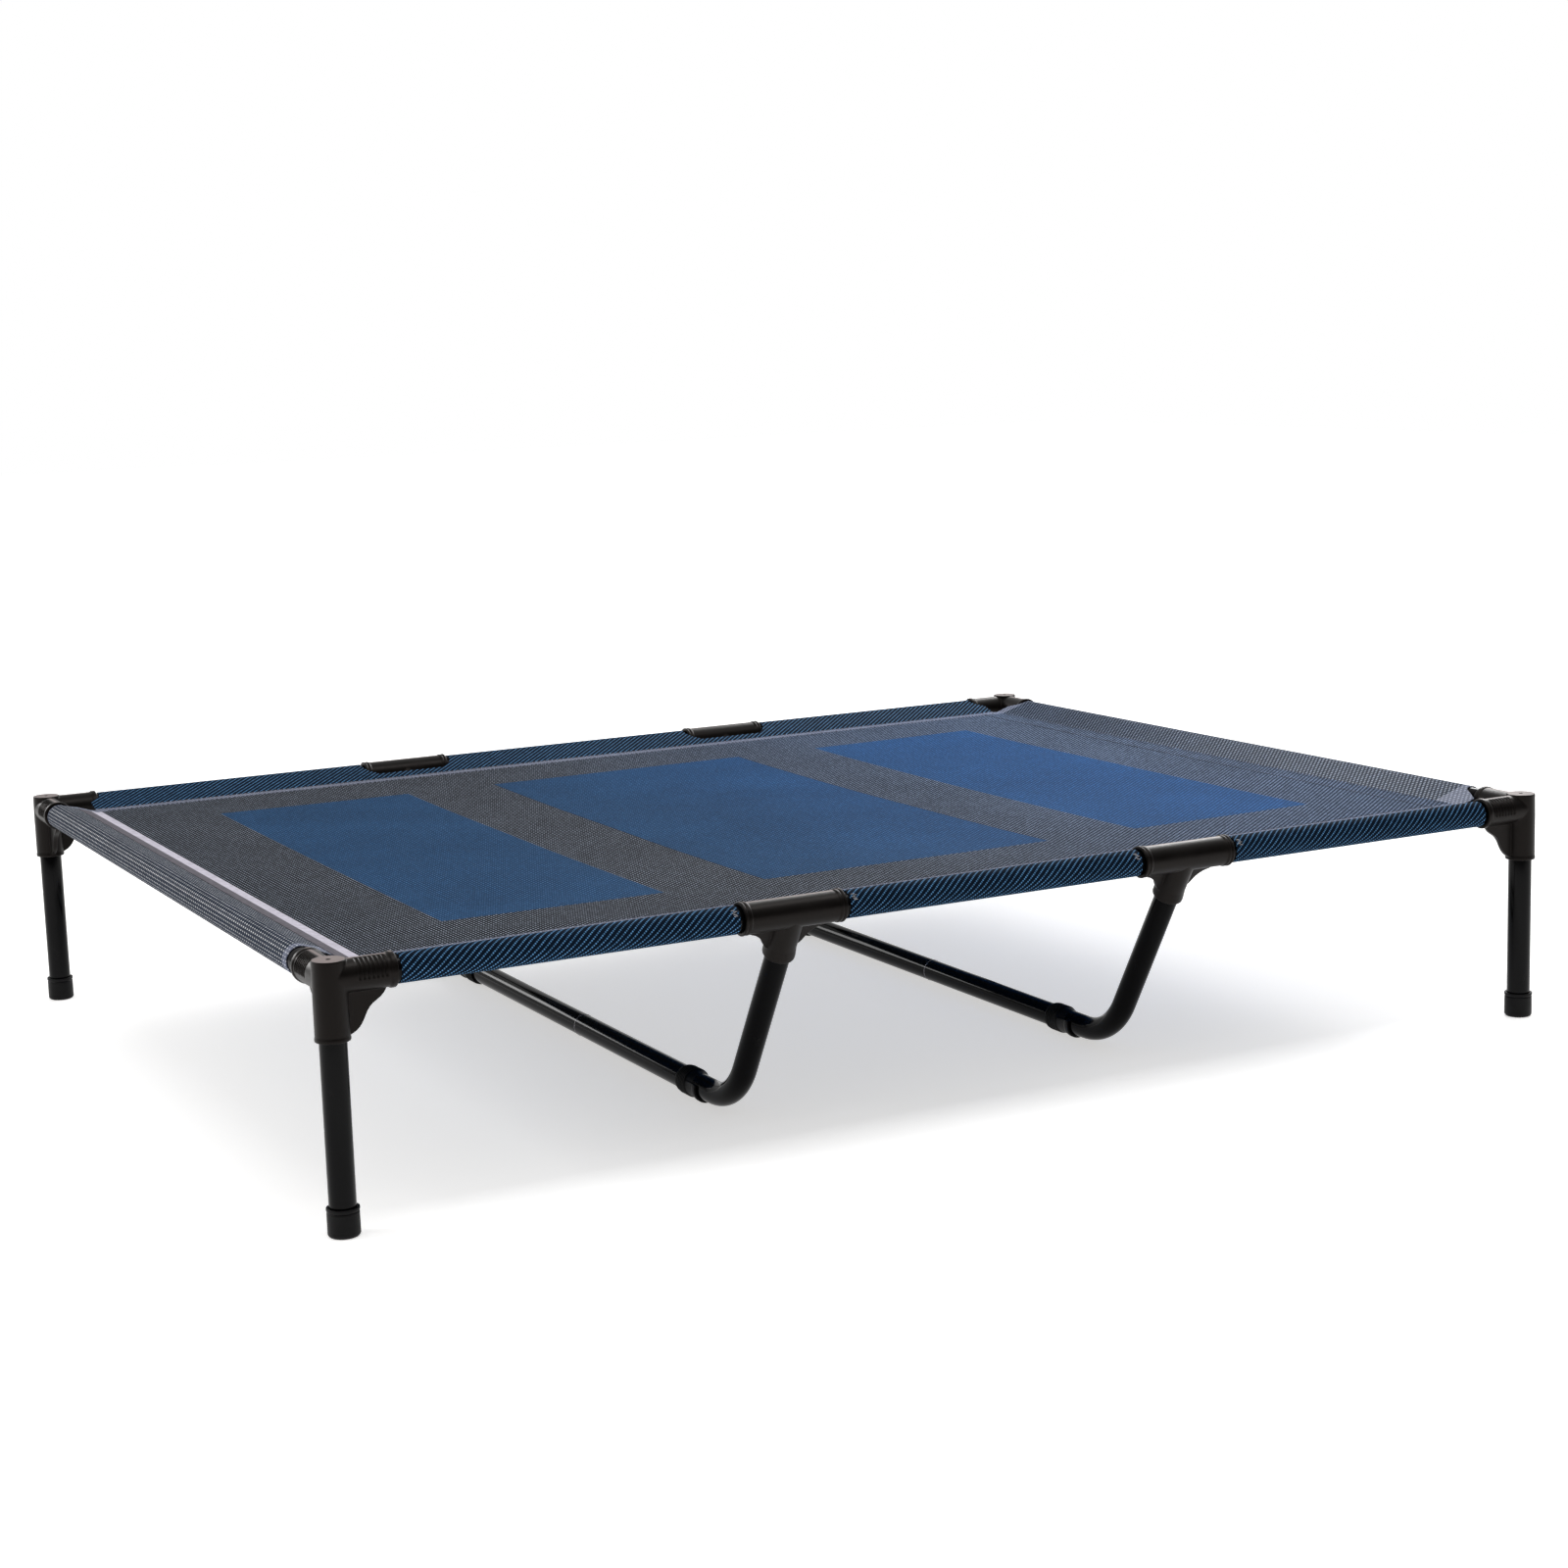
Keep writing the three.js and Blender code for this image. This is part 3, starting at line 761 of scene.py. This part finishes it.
def support_half(has_stub):
    """Half a support, drawn at the front; the front half's stub slides into the back half."""
    if has_stub:
        end_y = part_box("support_left_front")[1].y - SWAGE_LENGTH
    else:
        end_y = -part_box("support_left_back")[0].y
    line = support_line(end_y)
    outer = [TUBE_R] * (len(line) - 1) + [TUBE_R - EDGE]
    pipe = bent_tube(line, outer, TUBE_R - TUBE_WALL)
    if not has_stub:
        return pipe
    start, end, bore = end_y - 0.003, end_y + SWAGE_LENGTH, SLIM_R - TUBE_WALL
    section = [(SLIM_R, start), (SLIM_R, end), (bore, end), (bore, start)]
    return join(pipe, turned_ring(section, EDGE, (0, 1, 0), (0, 0, BAR_Z)))


def build_corners(plastic):
    master = corner_connector()
    for where, turn in CORNER_TURNS.items():
        leg = centre(f"leg_{where}")
        piece = copy_turned(master, f"corner_connector_{where}", turn, (leg.x, leg.y, RAIL_Z))
        finish_piece(piece, plastic, "connector_plastic", f"corner_{where}")
    bpy.data.objects.remove(master)


def build_tees(plastic):
    master = tee_connector()
    for end, sign in ENDS.items():
        for side, way in SIDES.items():
            place = (sign * SUPPORT_X, way * CORNER_Y, RAIL_Z)
            piece = copy_turned(master, f"tee_connector_{side}_{end}", SIDE_TURNS[side], place)
            finish_piece(piece, plastic, "connector_plastic", f"tee_{side}_{end}")
    bpy.data.objects.remove(master)


def build_legs(paint, rubber):
    for where in CORNER_TURNS:
        low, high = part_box(f"leg_{where}")
        spot = centre(f"leg_{where}")
        base = (spot.x, spot.y, 0)
        piece = make_object(f"leg_tube_{where}", *tube(low.z, high.z, (0, 0, 1), base))
        finish_piece(piece, paint, "tube_paint", f"leg_{where}")
        points, faces = foot()
        piece = make_object(f"foot_boot_{where}", points + np.array(base), faces)
        finish_piece(piece, rubber, "foot_rubber", f"foot_{where}")


def swaged_tube(start, end, direction, base):
    """A straight tube whose far end is reduced so that it slides into the next tube."""
    full, inner, bore = end - SWAGE_LENGTH, TUBE_R - TUBE_WALL, SLIM_R - TUBE_WALL
    section = [(TUBE_R, start), (TUBE_R, full), (SLIM_R, full + SLIP), (SLIM_R, end),
               (bore, end), (bore, full), (inner, full - 0.004), (inner, start)]
    return turned_ring(section, EDGE, direction, base)


def build_rails(paint):
    for node in RAILS:
        low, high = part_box(node)
        middle = centre(node)
        along_x = node.split("_")[1] in SIDES
        way = (1, 0, 0) if along_x else (0, 1, 0)
        base = (0, middle.y, RAIL_Z) if along_x else (middle.x, 0, RAIL_Z)
        start, end = (low.x, high.x) if along_x else (low.y, high.y)
        kind = swaged_tube if node.endswith("_front") and not along_x else tube
        piece = make_object(node.replace("rail_", "rail_tube_"), *kind(start, end, way, base))
        finish_piece(piece, paint, "tube_paint", node)


def joint_edge(base):
    """The bare cut edge where the halves of a support meet."""
    outer, inner, half = TUBE_R + 0.00025, TUBE_R - 0.0006, 0.0003
    section = [(outer, -half), (outer, half), (inner, half), (inner, -half)]
    return turned_ring(section, 0.0002, (0, 1, 0), base)


def build_supports(paint, rubber, steel):
    for end, sign in ENDS.items():
        joint_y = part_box(f"support_{end}_back")[0].y
        edge = make_object(f"joint_edge_{end}", *joint_edge((sign * SUPPORT_X, joint_y, BAR_Z)))
        finish_piece(edge, steel, "tube_paint")
        for side, turn in SIDE_TURNS.items():
            half = make_object("half", *support_half(side == "front"))
            piece = copy_turned(half, f"support_tube_{end}_{side}", turn, (sign * SUPPORT_X, 0, 0))
            bpy.data.objects.remove(half)
            finish_piece(piece, paint, "tube_paint", f"support_{end}_{side}")
            low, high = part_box(f"grip_{end}_{side}")
            inner_y = high.y if side == "front" else low.y
            sleeve = grip((0, SIDES[side], 0), (sign * SUPPORT_X, inner_y, BAR_Z))
            sleeve = make_object(f"grip_sleeve_{end}_{side}", *sleeve)
            finish_piece(sleeve, rubber, "foot_rubber", f"grip_{end}_{side}")


# ---------------- cover

HEM_LEAN = math.acos(WRAP_R / HEM_TIP)
HEM_SLOPE = HEM_TIP * math.sin(HEM_LEAN)  # length of each flat side of a hem
HEM_WRAP = WRAP_R * (2 * math.pi - 2 * HEM_LEAN)
HEM_GIRTH = 2 * HEM_SLOPE + HEM_WRAP
ALLOWANCE = 0.008  # sewn under the deck past the seam
NOTCH = 0.012  # cloth left past the seam where a hem is notched for a tee
CORNER_CLOTH = 0.022  # and at a corner of the bed
NOTCH_ROUND = 0.014  # length over which a notch reaches its depth
CORNER_PULL = 0.004  # how far the seams' corners are drawn in, over
CORNER_REACH = 0.02
LAYER = CLOTH + 0.00025  # from one layer of cloth to the next
SAG = 0.005  # in the middle of the deck
BOWL = 2.4  # power of the sag's curve: the higher, the flatter the middle
RIPPLE = 0.00035

LONG_HEMS = [  # from x to x
    tuple(corner.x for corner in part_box(f"hem_front_{third}")) for third in ("left", "middle", "right")
]
SHORT_HEM = tuple(corner.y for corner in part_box("hem_left"))  # from y to y


def deck_drop(x, y):
    """How far the deck hangs below the rails' axes."""
    along, across = (np.clip(np.abs(p) / seam, 0, 1) ** BOWL for p, seam in ((x, SEAM_X), (y, SEAM_Y)))
    bowl = (1 - along) * (1 - across)
    ripple = RIPPLE * np.sin(x * 9.1 + 1.3 * np.sin(y * 7.3)) * np.sin(y * 11.7 + 0.8)
    return (SAG + ripple) * bowl


def hem_section(s):
    """Across a hem at the distance s from the seam: (inward from the rail axis, above it)."""
    s = np.asarray(s, float)
    ahead = s <= HEM_SLOPE
    round_part = np.clip(s - HEM_SLOPE, 0, HEM_WRAP)
    angle = HEM_LEAN + round_part / WRAP_R
    inward = WRAP_R * np.cos(angle)
    above = WRAP_R * np.sin(angle)
    share = np.clip(s / HEM_SLOPE, 0, 1)
    inward = np.where(ahead, HEM_TIP + (inward - HEM_TIP) * share, inward)
    above = np.where(ahead, above * share, above)
    back = s > HEM_SLOPE + HEM_WRAP
    done = np.clip((s - HEM_SLOPE - HEM_WRAP) / HEM_SLOPE, 0, None)
    under = np.clip(done, 0, 1)
    past = np.clip(done - 1, 0, None) * HEM_SLOPE
    inward = np.where(back, inward + (HEM_TIP - inward) * under + past, inward)
    above = np.where(back, above * (1 - under) - LAYER * under, above)
    return inward, above


def cloth_point(u, v):
    """The place in space of the flat cut's point (u, v)."""
    u, v = np.broadcast_arrays(np.asarray(u, float), np.asarray(v, float))
    x, y = np.clip(u, -SEAM_X, SEAM_X), np.clip(v, -SEAM_Y, SEAM_Y)
    z = RAIL_Z - deck_drop(x, y)
    for past, along, reach in ((np.abs(v) - SEAM_Y, v, CORNER_Y), (np.abs(u) - SEAM_X, u, CORNER_X)):
        on_hem = past > 0
        inward, above = hem_section(np.clip(past, 0, None))
        place = np.sign(along) * (reach - inward)
        if reach == CORNER_Y:
            y = np.where(on_hem, place, y)
        else:
            x = np.where(on_hem, place, x)
        below = np.where(past > HEM_GIRTH, deck_drop(x, y), 0)
        z = np.where(on_hem, RAIL_Z + above - below, z)
    return np.stack([x, y, z], axis=-1)


NEAR_ENDS = (0.001, 0.003, 0.007, 0.014)  # extra grid lines past the end of a hem
DECK_STEP = 0.010


def lines_between(seam, ends):
    """Grid lines across the deck: close together past the ends of the hems, else DECK_STEP or less apart."""
    extra = [end + way * past for end, way in zip(ends, (-1, 1) * 3) for past in NEAR_ENDS]
    marks = sorted([-seam, *ends, *extra, seam])
    lines = []
    for a, b in zip(marks, marks[1:]):
        count = max(1, math.ceil((b - a) / DECK_STEP - 1e-6))
        lines += list(np.linspace(a, b, count, endpoint=False))
    return lines + [marks[-1]]


def hem_lines():
    """Distances from the seam at which the hem has a line of points."""
    marks = [0, HEM_SLOPE, HEM_SLOPE + HEM_WRAP, HEM_GIRTH, HEM_GIRTH + ALLOWANCE]
    steps = [0.0045, 0.0022, 0.006, 0.004]  # about, on each part
    lines = []
    for a, b, step in zip(marks, marks[1:], steps):
        lines += list(np.linspace(a, b, max(1, round((b - a) / step)), endpoint=False))
    return lines + [marks[-1]]


def kept_cell(u, v):
    """True where the flat cut has cloth."""
    past_u, past_v = abs(u) - SEAM_X, abs(v) - SEAM_Y
    if past_u <= 0 and past_v <= 0:
        return True
    if past_u > 0 and past_v > 0:
        return False
    if past_v > 0:
        return past_v < HEM_SLOPE or any(a < u < b for a, b in LONG_HEMS)
    return past_u < HEM_SLOPE or SHORT_HEM[0] < v < SHORT_HEM[1]


def grid_cell(i, j, wide):
    """The four points of a cell of a grid that is wide points wide."""
    corner = j * wide + i
    return corner, corner + 1, corner + wide + 1, corner + wide


def cover_sheet(cloth):
    """The whole cover, and the area of its flat cut."""
    hem = hem_lines()[1:]
    sides = ((SEAM_X, [x for ends in LONG_HEMS for x in ends]), (SEAM_Y, SHORT_HEM))
    us, vs = (
        np.array([-seam - s for s in reversed(hem)] + lines_between(seam, ends) + [seam + s for s in hem])
        for seam, ends in sides
    )
    fitted_u, fitted_v = fit_edges(*np.meshgrid(us, vs))
    points = cloth_point(fitted_u, fitted_v).reshape(-1, 3)
    faces, used = [], {}
    for j in range(len(vs) - 1):
        for i in range(len(us) - 1):
            if kept_cell((us[i] + us[i + 1]) / 2, (vs[j] + vs[j + 1]) / 2):
                faces.append(tuple(used.setdefault(k, len(used)) for k in grid_cell(i, j, len(us))))
    order = np.array(list(used))
    flat = np.stack([fitted_u.ravel()[order], fitted_v.ravel()[order]], axis=-1)
    area = sum(flat_area(flat[list(face)]) for face in faces)
    obj = cloth_object("cover_sheet", points[order], faces, flat, CLOTH)
    nodes = [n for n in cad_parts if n.startswith("hem_") or n == "cover_deck"]
    return finish_piece(obj, cloth, "cover_fabric", *nodes), area


def shortened(share, past, reach, left):
    """Lets the share fall, over the distance reach past a hem's end, until the length left is there."""
    depth = np.clip(past / reach, 0, 1)
    return np.where(past > 0, 1 - (1 - left / HEM_SLOPE) * np.sqrt(depth), share)


def slope_share(along, hems, reach):
    """How much of a hem's upper side is there: all of it on a hem, less in a notch or towards a corner."""
    share = np.ones_like(along)
    for (_, end), (start, _) in zip(hems, hems[1:]):
        share = shortened(share, np.minimum(along - end, start - along), NOTCH_ROUND, NOTCH)
    for end, way in ((hems[0][0], -1), (hems[-1][1], 1)):
        share = shortened(share, (along - end) * way, reach - abs(end), CORNER_CLOTH)
    return share


def fit_edges(u, v):
    """Cuts the notches and the corners of the flat cut with smooth edges."""
    past_v, past_u = np.abs(v) - SEAM_Y, np.abs(u) - SEAM_X
    on_slope_v = (past_v > 0) & (past_v < HEM_SLOPE + 1e-6)
    on_slope_u = (past_u > 0) & (past_u < HEM_SLOPE + 1e-6)
    shorter_v = np.where(on_slope_v, past_v * (slope_share(u, LONG_HEMS, SEAM_X) - 1), 0)
    shorter_u = np.where(on_slope_u, past_u * (slope_share(v, [SHORT_HEM], SEAM_Y) - 1), 0)
    v = v + np.sign(v) * shorter_v
    u = u + np.sign(u) * shorter_u
    near_u = np.clip(1 - (SEAM_X - np.abs(u)) / CORNER_REACH, 0, 1)
    near_v = np.clip(1 - (SEAM_Y - np.abs(v)) / CORNER_REACH, 0, 1)
    pull = CORNER_PULL * (near_u * near_v)
    return u - np.sign(u) * pull, v - np.sign(v) * pull


def flat_area(corners):
    x, y = corners[:, 0], corners[:, 1]
    return abs(float(np.dot(x, np.roll(y, -1)) - np.dot(y, np.roll(x, -1)))) / 2


def cloth_object(name, points, faces, flat, thickness):
    """Cloth with its thickness, and each point's place in the flat cut as its UV map, in metres."""
    mesh = bpy.data.meshes.new(name)
    mesh.from_pydata(points.tolist(), [], faces)
    layer = mesh.uv_layers.new(name="flat_cut")
    corners = np.zeros(len(mesh.loops), int)
    mesh.loops.foreach_get("vertex_index", corners)
    layer.data.foreach_set("uv", flat[corners].astype(np.float32).ravel())
    mesh.shade_smooth()
    obj = link(name, mesh)
    solid = obj.modifiers.new("thickness", "SOLIDIFY")
    solid.thickness = thickness
    solid.offset = 0
    apply_modifiers(obj)
    obj.data.set_sharp_from_angle(angle=math.radians(60))
    return obj


BAND_U = (-SEAM_X - 0.020, -SEAM_X + 0.005)
BAND_V = (-SEAM_Y + 0.003, 0.402)
BAND_LIFT = 0.0008  # above the middle of the cloth
BAND_THICKNESS = 0.0004


def seam_tape(name, band):
    """A flat strip sewn on the left seam."""
    us = np.linspace(*BAND_U, round((BAND_U[1] - BAND_U[0]) / 0.0015))
    vs = np.linspace(*BAND_V, round((BAND_V[1] - BAND_V[0]) / 0.006))
    grid_u, grid_v = np.meshgrid(us, vs)
    points = (cloth_point(grid_u, grid_v) + np.array([0, 0, BAND_LIFT])).reshape(-1, 3)
    faces = [grid_cell(i, j, len(us)) for j in range(len(vs) - 1) for i in range(len(us) - 1)]
    flat = np.stack([grid_u.ravel(), grid_v.ravel()], axis=-1)
    return finish_piece(cloth_object(name, points, faces, flat, BAND_THICKNESS), band, "hem_fabric")


def cloth_up(u, v):
    """The cloth's outer side at a point of the flat cut, as a unit vector."""
    step = 0.0005
    along = cloth_point(u + step, v) - cloth_point(u - step, v)
    across = cloth_point(u, v + step) - cloth_point(u, v - step)
    up = np.cross(along, across)
    return up / np.linalg.norm(up)


def stitch(start, end, up, thickness):
    """One stitch: a short thread that arches out of the cloth."""
    middle = (start + end) / 2 + up * thickness * 0.5
    sunk = up * thickness
    spots = [start - sunk, start * 0.8 + middle * 0.2, middle, end * 0.8 + middle * 0.2, end - sunk]
    ahead = (end - start) / np.linalg.norm(end - start)
    side = np.cross(ahead, up)
    angles = np.linspace(0, 2 * math.pi, 6, endpoint=False)
    spoke = np.outer(np.cos(angles), side) + np.outer(np.sin(angles), up)
    radii = [0, 0.9, 1, 0.9, 0]
    return loft([spot + spoke * radius * thickness / 2 for spot, radius in zip(spots, radii)])


STITCH_LIFT = 0.0006  # of a stitch's ends above the middle of the cloth


def stitch_row(start, end, pitch=0.0048, length=0.0036, thickness=0.0006):
    """Stitches along a line of the flat cut."""
    start, end = np.array(start, float), np.array(end, float)
    run = np.linalg.norm(end - start)
    ahead = (end - start) / run
    made = []
    for distance in np.arange(pitch / 2, run - pitch / 2 + 1e-6, pitch):
        spot = start + ahead * distance
        up = cloth_up(*spot)
        halves = (-length / 2, length / 2)
        a, b = (cloth_point(*(spot + ahead * half)) + up * STITCH_LIFT for half in halves)
        made.append(stitch(a, b, up, thickness))
    return made


LONG_ROWS = (0.003, 0.018)  # rows of stitches inside each long seam
END_ROWS = (0.003, 0.027)  # and inside the right seam; the left one has its band
ROW_STOP = 0.012  # from the end of a row to the corner


def cover_stitching(yarn):
    long, short = SEAM_X - ROW_STOP, SEAM_Y - ROW_STOP
    rows = []
    for way in (-1, 1):
        for inward in LONG_ROWS:
            v = way * (SEAM_Y - inward)
            rows += stitch_row((-long, v), (long, v))
    for inward in END_ROWS:
        rows += stitch_row((SEAM_X - inward, -short), (SEAM_X - inward, short))
    return finish_piece(make_object("cover_stitching", *join(*rows)), yarn, "hem_fabric")


TACK_ROWS = 5
TACK_PITCH = 0.0013
TACK_LENGTH = 0.0042
TACK_PLACE = 0.26  # of the way round the rail


def hem_tacks(yarn):
    """Bars of pale thread that close the ends of the long hems beside the tees."""
    tacks = []
    ends = [(x, way) for hem in LONG_HEMS for x, way in zip(hem, (1, -1)) if abs(x) < SEAM_X - 0.05]
    for x, way in ends:
        for side in (-1, 1):
            for row in range(TACK_ROWS):
                v = side * (SEAM_Y + HEM_SLOPE + HEM_WRAP * TACK_PLACE + row * TACK_PITCH)
                uneven = 0.0012 * (1 + math.sin(row * 2.4 + x * 90))
                start = x + way * (0.0010 + uneven)
                tacks += stitch_row((start, v), (start + way * TACK_LENGTH, v), TACK_LENGTH, 0.0038, 0.0005)
    return finish_piece(make_object("hem_tacks", *join(*tacks)), yarn, "hem_fabric")


def build_cover():
    sheet, area = cover_sheet(mesh_cloth())
    tape = seam_tape("seam_band_left", seam_band())
    threads = cover_stitching(thread("stitch_thread", (30, 34, 44), (58, 64, 78)))
    tacks = hem_tacks(thread("tack_thread", (150, 148, 150), (206, 204, 206)))


# ---------------- stage, light and camera

FLOOR_X, FLOOR_Y = (-9, 9), (-7, 13)
FLOOR_Z = -0.0002  # just clear of the feet


def build_floor():
    points, faces = loft([[(x, y, FLOOR_Z) for x in FLOOR_X] for y in FLOOR_Y])
    floor = make_object("floor", points, faces[:1])
    floor.data.materials.append(pale_floor())


SOFTBOXES = {  # place, target, size, and power in watts
    "back": ((2.3, 1.7, 1.9), (0.3, 0, 0.2), (2.0, 0.9), 66),
    "left": ((-2.5, 0.5, 1.5), (-0.5, 0, 0.2), (0.6, 0.6), 20),
    "top": ((0.0, -0.7, 2.3), (0, -0.5, 0.2), (2.4, 0.8), 24),
    "rim": ((-1.6, 2.9, 1.1), (-0.5, 0, 0.2), (1.2, 0.7), 24),
}
BACKDROP_WAY = (0.45, 0.89)  # level direction from the camera towards the backdrop


def area_light(name, place, target, size, power):
    light = bpy.data.lights.new(name, "AREA")
    light.shape = "RECTANGLE"
    light.size, light.size_y = size
    light.energy = power
    obj = link(name, light)
    obj.location = place
    obj.rotation_euler = (Vector(target) - Vector(place)).to_track_quat("-Z", "Y").to_euler()
    return obj


def build_light():
    """Softboxes, and a studio that is white behind the bed and above it and dark behind the camera."""
    lights = {name: area_light(name, *values) for name, values in SOFTBOXES.items()}
    lights["rim"].visible_diffuse = False  # only for glints on the tubes
    world = bpy.data.worlds.new("studio")
    bpy.context.scene.world = world
    world.use_nodes = True
    nodes = Nodes(world.node_tree)
    way = nodes.add("SeparateXYZ", nodes.add("TexCoord").outputs["Generated"])
    parts = [nodes.times(part, share) for part, share in zip(way.outputs, BACKDROP_WAY)]
    backdrop = nodes.ramp(nodes.math("ADD", *parts), -0.05, 0.6, 0.06, 0.7)
    above = nodes.ramp(way.outputs[2], 0.25, 0.9, 0.0, 0.5)
    studio = nodes.math("MAXIMUM", backdrop, above)
    seen = nodes.add("LightPath").outputs["Is Camera Ray"]
    sky = next(n for n in world.node_tree.nodes if n.type == "BACKGROUND")
    nodes.put(nodes.math("MAXIMUM", seen, studio), sky.inputs["Strength"])
    sky.inputs["Color"].default_value = (1, 1, 1, 1)


CAMERA_PLACE = Vector((-1.2363, -2.4369, 0.6865))
AZIMUTH = math.radians(-27.649)
ELEVATION = math.radians(9.493)
ROLL = math.radians(-1.798)
LENS = 62.87  # on a 36 mm sensor


def build_camera():
    data = bpy.data.cameras.new("camera")
    data.lens = LENS
    data.sensor_width = 36
    data.clip_start = 0.05
    level, rise = math.cos(ELEVATION), math.sin(ELEVATION)
    back = Vector((math.sin(AZIMUTH) * level, -math.cos(AZIMUTH) * level, rise))
    right = Vector((0, 0, 1)).cross(back).normalized()
    up = back.cross(right)
    c, s = math.cos(ROLL), math.sin(ROLL)
    columns = (right * c + up * s, up * c - right * s, back)
    camera = link("camera", data)
    camera.matrix_world = Matrix.Translation(CAMERA_PLACE) @ Matrix(columns).transposed().to_4x4()
    bpy.context.scene.camera = camera


def build():
    bpy.context.scene.view_settings.view_transform = "Standard"
    build_camera()
    build_floor()
    build_light()
    paint, plastic, rubber = powder_coat("powder_coat", 0.1), moulded_plastic(), soft_rubber()
    build_corners(plastic)
    build_tees(plastic)
    build_legs(paint, rubber)
    build_rails(paint)
    build_supports(powder_coat("support_coat", 0.05), rubber, bare_steel())
    build_cover()


build()
